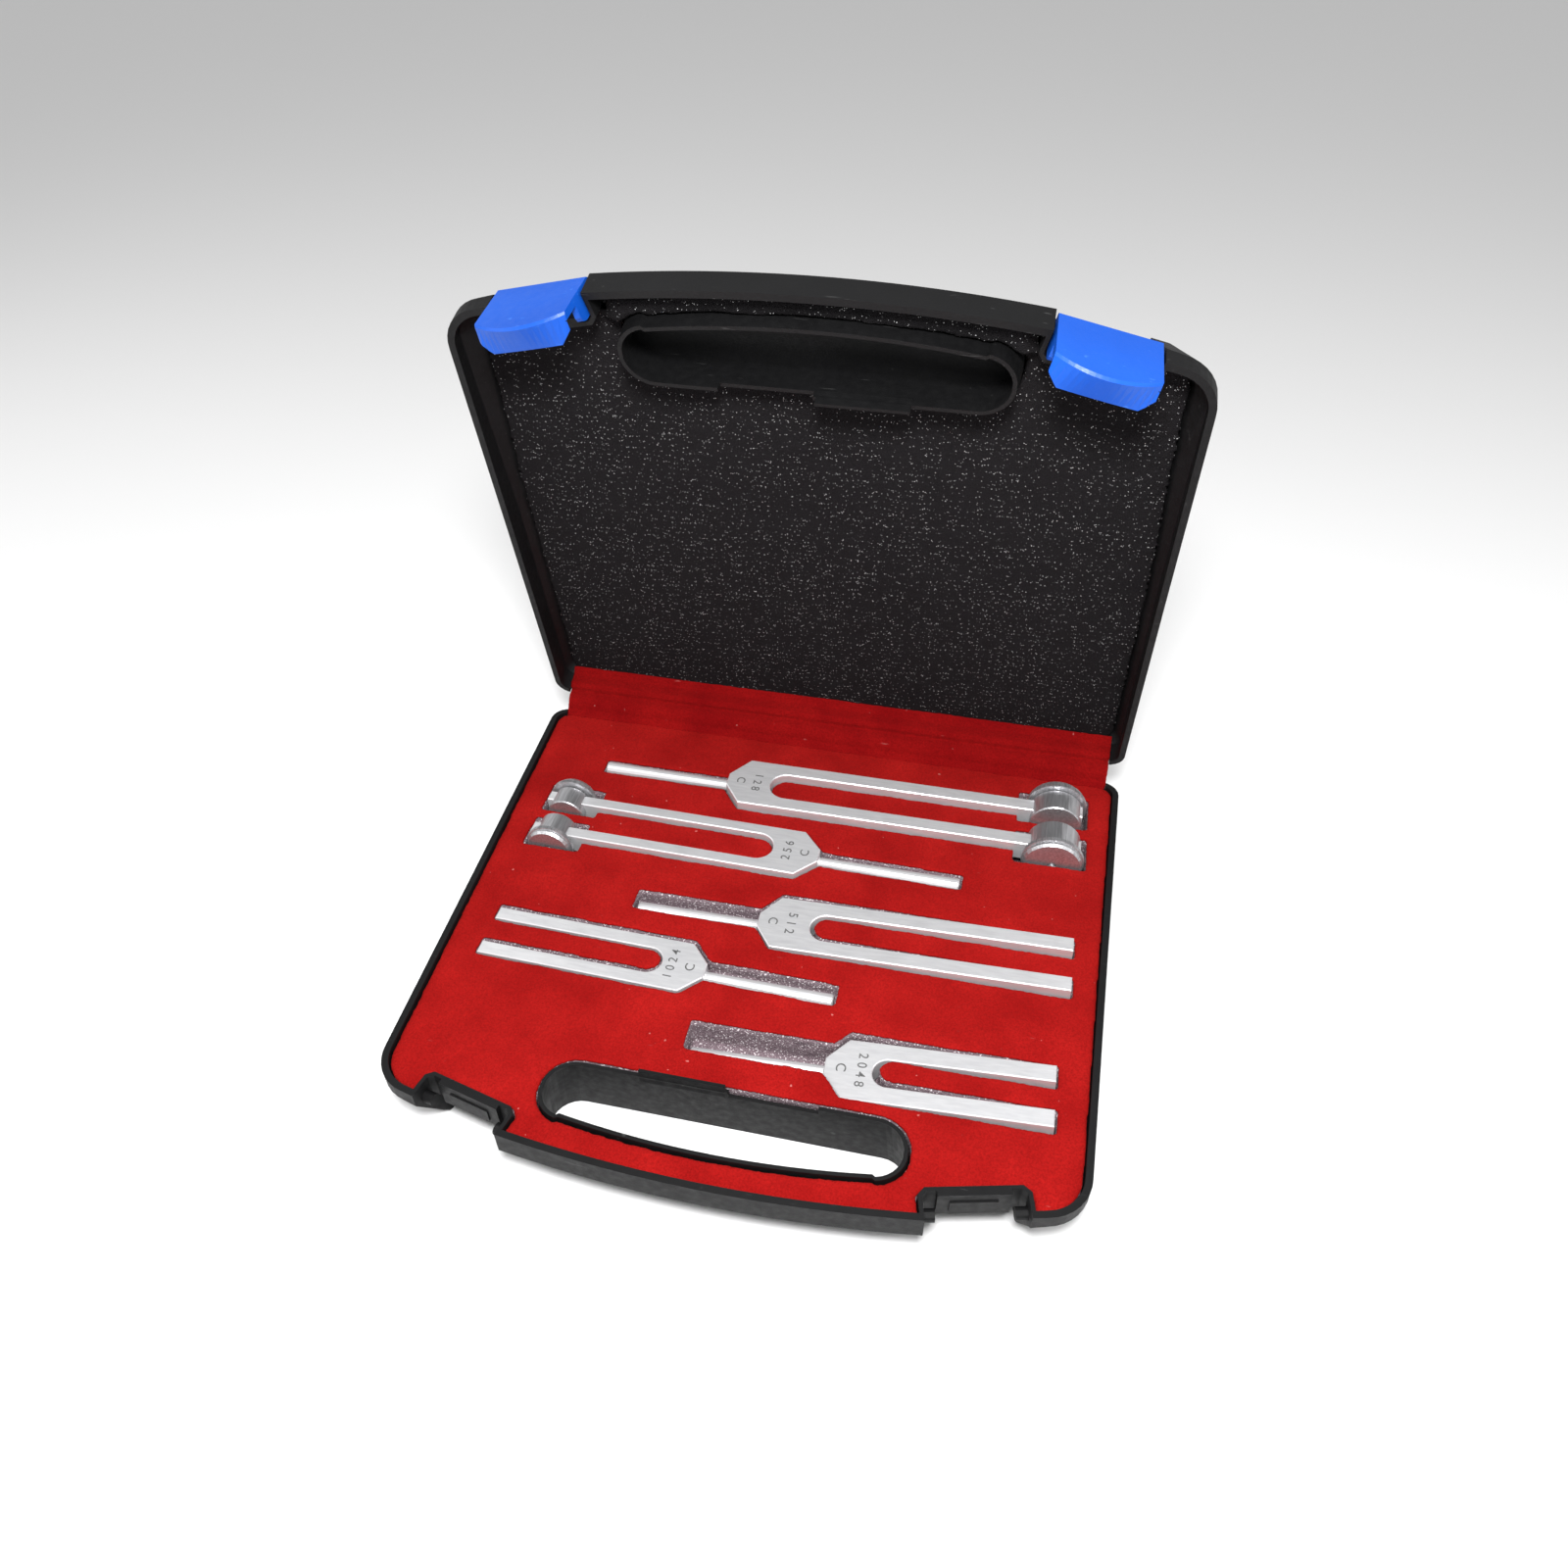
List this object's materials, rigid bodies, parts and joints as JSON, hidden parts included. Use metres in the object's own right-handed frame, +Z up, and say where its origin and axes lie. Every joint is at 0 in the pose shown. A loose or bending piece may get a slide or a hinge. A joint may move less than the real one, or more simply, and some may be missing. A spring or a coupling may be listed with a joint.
{
  "type": "tuning fork set in a hinged carry case",
  "caption": "Open hinged carry case with a felt-covered foam insert holding tuning forks, two of them with clamped cylindrical weights on their tines.",
  "frame": {"origin": "centre of the case's flat underside", "axes": "+X to the right along the hinge, +Y from the case's front lip to its hinge, +Z up"},
  "size_m": [0.23, 0.2219, 0.2228],
  "materials": {
    "black_plastic": "satin black moulded plastic",
    "blue_plastic": "satin blue moulded plastic",
    "pin_steel": "plain drawn wire",
    "grey_foam": "cut open-cell foam, purple grey",
    "charcoal_foam": "open-cell foam with pale flecks",
    "red_felt": "short-pile red felt",
    "fork_aluminium": "fine satin, brushed along the tines",
    "turned_aluminium": "turned and knurled"
  },
  "bodies": {
    "case_base": {"base_shell": "black_plastic", "hinge_pin": "pin_steel", "base_foam": "grey_foam", "felt_lining": "red_felt", "felt_hinge_flap": "red_felt"},
    "case_lid": {"lid_shell": "black_plastic", "lid_foam": "charcoal_foam"},
    "left_latch": {"latch_left": "blue_plastic"},
    "right_latch": {"latch_right": "blue_plastic"},
    "c128_fork": {"fork_c128": "fork_aluminium"},
    "c256_fork": {"fork_c256": "fork_aluminium"},
    "c512_fork": {"fork_c512": "fork_aluminium"},
    "c1024_fork": {"fork_c1024": "fork_aluminium"},
    "c2048_fork": {"fork_c2048": "fork_aluminium"},
    "c128_back_weight": {"c128_weight_back": "turned_aluminium"},
    "c128_front_weight": {"c128_weight_front": "turned_aluminium"},
    "c256_back_weight": {"c256_weight_back": "turned_aluminium"},
    "c256_front_weight": {"c256_weight_front": "turned_aluminium"},
    "c128_back_screw": {"c128_clamp_screw_back": "turned_aluminium"},
    "c128_front_screw": {"c128_clamp_screw_front": "turned_aluminium"},
    "c256_back_screw": {"c256_clamp_screw_back": "turned_aluminium"},
    "c256_front_screw": {"c256_clamp_screw_front": "turned_aluminium"}
  },
  "joints": [
    {"name": "lid_hinge", "type": "hinge", "parent": "case_base", "child": "case_lid", "pos_m": [0, 0.104, 0.025], "axis": [-1, 0, 0], "range_deg": [-75, 30], "deforming": ["felt_hinge_flap"]},
    {"name": "left_latch_hinge", "type": "hinge", "parent": "case_lid", "child": "left_latch", "pos_m": [-0.07763, 0.0609, 0.21018], "axis": [-0.9728, 0.06, -0.2239], "range_deg": [-5.5, 55]},
    {"name": "right_latch_hinge", "type": "hinge", "parent": "case_lid", "child": "right_latch", "pos_m": [0.07763, 0.0609, 0.21018], "axis": [-0.9728, -0.06, 0.2239], "range_deg": [-5.5, 55]},
    {"name": "c128_lift", "type": "slide", "parent": "case_base", "child": "c128_fork", "axis": [0, 0, 1], "range_m": [0, 0.04]},
    {"name": "c256_lift", "type": "slide", "parent": "case_base", "child": "c256_fork", "axis": [0, 0, 1], "range_m": [0, 0.04]},
    {"name": "c512_lift", "type": "slide", "parent": "case_base", "child": "c512_fork", "axis": [0, 0, 1], "range_m": [0, 0.04]},
    {"name": "c1024_lift", "type": "slide", "parent": "case_base", "child": "c1024_fork", "axis": [0, 0, 1], "range_m": [0, 0.04]},
    {"name": "c2048_lift", "type": "slide", "parent": "case_base", "child": "c2048_fork", "axis": [0, 0, 1], "range_m": [0, 0.04]},
    {"name": "c128_back_weight_slide", "type": "slide", "parent": "c128_fork", "child": "c128_back_weight", "axis": [1, 0, 0], "range_m": [-0.0025, 0.0003]},
    {"name": "c128_front_weight_slide", "type": "slide", "parent": "c128_fork", "child": "c128_front_weight", "axis": [1, 0, 0], "range_m": [-0.0025, 0.0003]},
    {"name": "c256_back_weight_slide", "type": "slide", "parent": "c256_fork", "child": "c256_back_weight", "axis": [-0.9999, 0.0157, 0], "range_m": [-0.0025, 0.0003]},
    {"name": "c256_front_weight_slide", "type": "slide", "parent": "c256_fork", "child": "c256_front_weight", "axis": [-0.9999, 0.0157, 0], "range_m": [-0.0025, 0.0003]},
    {"name": "c128_back_screw_turn", "type": "hinge", "parent": "c128_back_weight", "child": "c128_back_screw", "pos_m": [0.092, 0.0845, 0.0225], "axis": [0, 1, 0], "continuous": true},
    {"name": "c128_front_screw_turn", "type": "hinge", "parent": "c128_front_weight", "child": "c128_front_screw", "pos_m": [0.092, 0.0539, 0.0225], "axis": [0, -1, 0], "continuous": true},
    {"name": "c256_back_screw_turn", "type": "hinge", "parent": "c256_back_weight", "child": "c256_back_screw", "pos_m": [-0.09077, 0.05206, 0.0215], "axis": [0.0157, 0.9999, 0], "continuous": true},
    {"name": "c256_front_screw_turn", "type": "hinge", "parent": "c256_front_weight", "child": "c256_front_screw", "pos_m": [-0.0912, 0.02507, 0.0215], "axis": [-0.0157, -0.9999, 0], "continuous": true}
  ]
}
